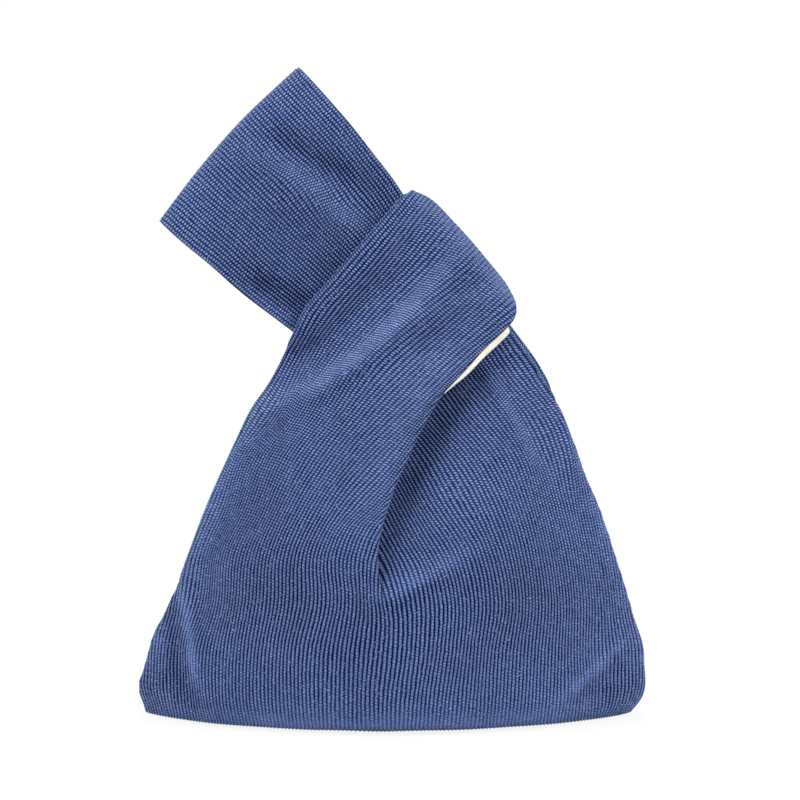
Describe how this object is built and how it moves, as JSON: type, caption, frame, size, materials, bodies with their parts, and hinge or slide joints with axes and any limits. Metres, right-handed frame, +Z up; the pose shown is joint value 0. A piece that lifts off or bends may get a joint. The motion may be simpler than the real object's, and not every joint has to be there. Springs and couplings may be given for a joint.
{
  "type": "wrist bag",
  "caption": "Soft ribbed-cloth wrist bag with a cream lining: a long loop is drawn through a short loop to close the mouth and hang on a wrist.",
  "frame": {"origin": "middle of the bag's box on the surface that it stands on", "axes": "+Z up, front of the bag towards -Y, the short loop leans to +X and the long loop to -X"},
  "size_m": [0.22, 0.1122, 0.2778],
  "materials": {
    "ribbed_cloth": "fine ribbed corduroy, matt with a soft nap",
    "cotton_lining": "plain cotton weave",
    "blue_thread": "spun polyester thread",
    "cream_thread": "spun polyester thread"
  },
  "bodies": {
    "bag": {"front_panel": "ribbed_cloth", "back_panel": "ribbed_cloth", "front_lining": "cotton_lining", "back_lining": "cotton_lining", "left_side_seam": "blue_thread", "right_side_seam": "blue_thread", "base_seam": "blue_thread", "short_loop_seam": "blue_thread", "lining_left_side_seam": "cream_thread", "lining_right_side_seam": "cream_thread", "lining_base_seam": "cream_thread", "lining_short_loop_seam": "cream_thread"},
    "drawn_strap": {"drawn_strap_front": "ribbed_cloth", "drawn_strap_back": "ribbed_cloth", "drawn_strap_front_lining": "cotton_lining", "drawn_strap_back_lining": "cotton_lining"},
    "long_handle": {"handle_front": "ribbed_cloth", "handle_back": "ribbed_cloth", "handle_front_lining": "cotton_lining", "handle_back_lining": "cotton_lining", "long_loop_seam": "blue_thread", "lining_long_loop_seam": "cream_thread"}
  },
  "joints": [
    {"name": "long_loop_draw", "type": "slide", "parent": "bag", "child": "drawn_strap", "axis": [-0.7071, 0, 0.7071], "range_m": [0, 0.02]},
    {"name": "long_loop_fold", "type": "hinge", "parent": "drawn_strap", "child": "long_handle", "pos_m": [-0.02526, 0, 0.20146], "axis": [0.7071, 0, 0.7071], "range_deg": [-90, 90]}
  ]
}
